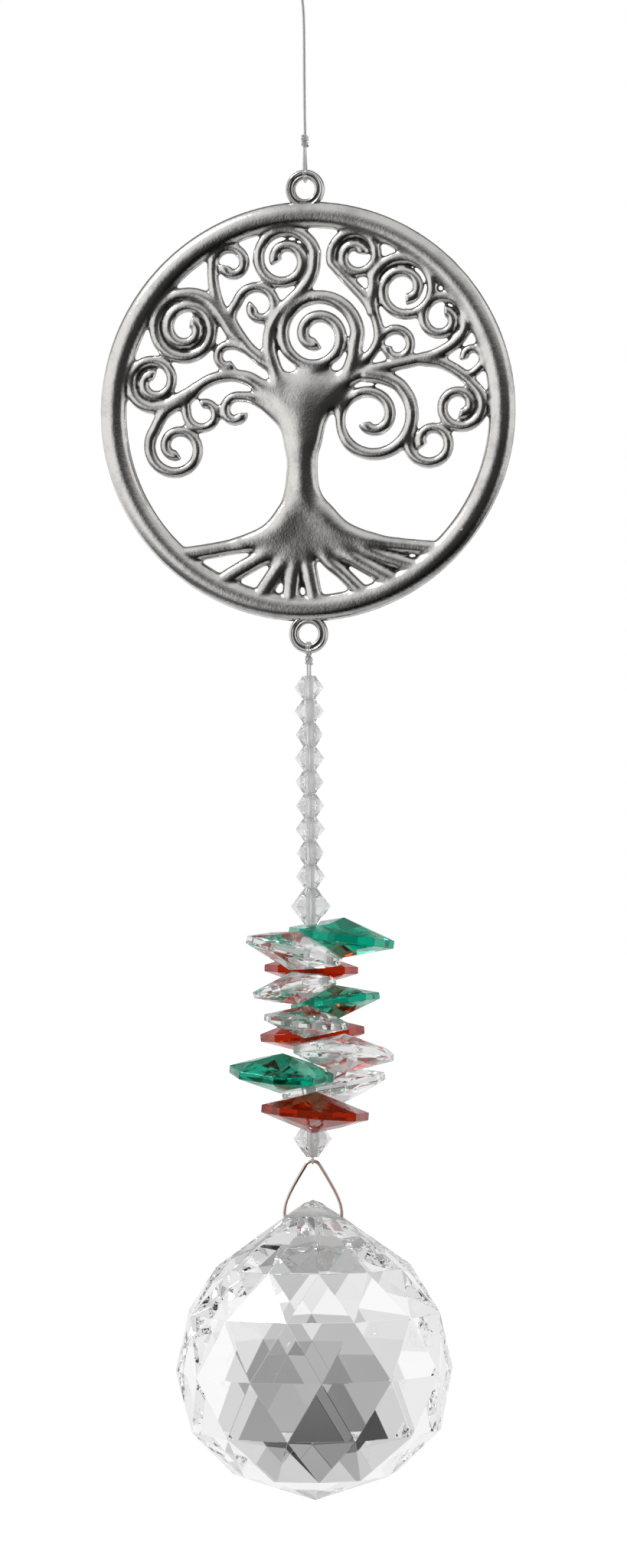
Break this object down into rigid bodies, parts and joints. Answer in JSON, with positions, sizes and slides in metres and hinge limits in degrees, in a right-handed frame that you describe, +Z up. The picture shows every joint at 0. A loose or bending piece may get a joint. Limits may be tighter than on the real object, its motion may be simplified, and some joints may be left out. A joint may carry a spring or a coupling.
{
  "type": "crystal suncatcher",
  "caption": "Hanging suncatcher: a cast tree of life disc, a string of clear bicone beads, a cluster of octagon crystals and a faceted crystal ball.",
  "frame": {"origin": "crown of the hanging loop, where a hook carries the whole suncatcher", "axes": "+Z up along the string, -Y the front, the way the tree disc faces, +X to the right seen from the front"},
  "size_m": [0.0606, 0.0392, 0.2301],
  "materials": {
    "silver": "antique silver casting, bright on its domed ridges and dark in its recesses",
    "line": "clear nylon line, smooth",
    "clear_crystal": "clear cut crystal, polished facets",
    "green_crystal": "emerald green cut crystal, polished facets",
    "red_crystal": "orange red cut crystal, polished facets",
    "copper_wire": "polished copper coloured wire"
  },
  "bodies": {
    "root": {"tree_disc": "silver", "hanging_cord": "line", "cord_knot": "line", "loop_knot": "line", "bead_thread": "line", "thread_knot": "line", "bicone_small_1": "clear_crystal", "bicone_small_2": "clear_crystal", "bicone_small_3": "clear_crystal", "bicone_small_4": "clear_crystal", "bicone_small_5": "clear_crystal", "bicone_small_6": "clear_crystal", "bicone_small_7": "clear_crystal", "bicone_small_8": "clear_crystal", "bicone_small_9": "clear_crystal", "bicone_large_top": "clear_crystal", "bicone_large_bottom": "clear_crystal", "octagon_green_1": "green_crystal", "octagon_green_2": "green_crystal", "octagon_green_3": "green_crystal", "octagon_red_1": "red_crystal", "octagon_red_2": "red_crystal", "octagon_red_3": "red_crystal", "octagon_clear_1": "clear_crystal", "octagon_clear_2": "clear_crystal", "octagon_clear_3": "clear_crystal", "octagon_clear_4": "clear_crystal", "octagon_clear_5": "clear_crystal", "wire_bail": "copper_wire", "crystal_ball": "clear_crystal"}
  },
  "joints": []
}
